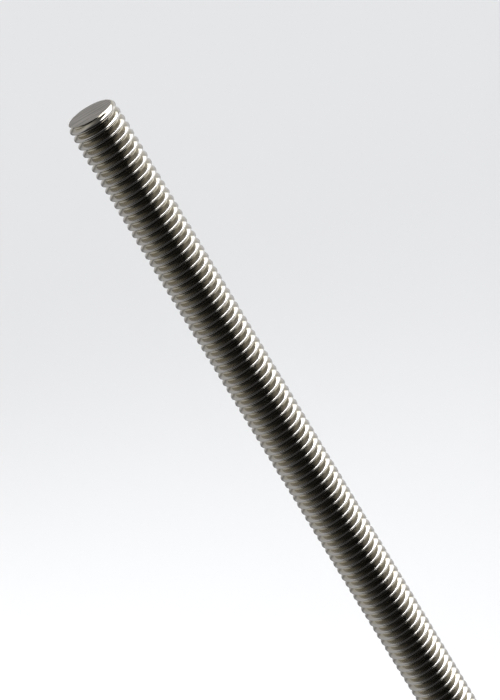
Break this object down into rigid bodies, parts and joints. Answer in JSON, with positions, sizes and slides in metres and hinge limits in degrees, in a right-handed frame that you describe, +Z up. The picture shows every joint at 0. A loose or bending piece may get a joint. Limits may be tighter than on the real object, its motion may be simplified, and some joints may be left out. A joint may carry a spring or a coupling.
{
  "type": "threaded rod",
  "caption": "Straight bright steel rod with a right-hand coarse metric thread over its whole length and square chamfered ends, for nuts and tapped holes.",
  "frame": {"origin": "centre of the lower end face, on the rod's axis", "axes": "+Z up along the rod's axis; +X to the right and -Y towards the viewer of the picture"},
  "size_m": [0.0078, 0.0078, 0.12],
  "materials": {
    "bright_steel": "bright rolled stainless steel, glossy flanks and crests, finely sawn end faces"
  },
  "bodies": {
    "root": {"threaded_rod": "bright_steel"}
  },
  "joints": []
}
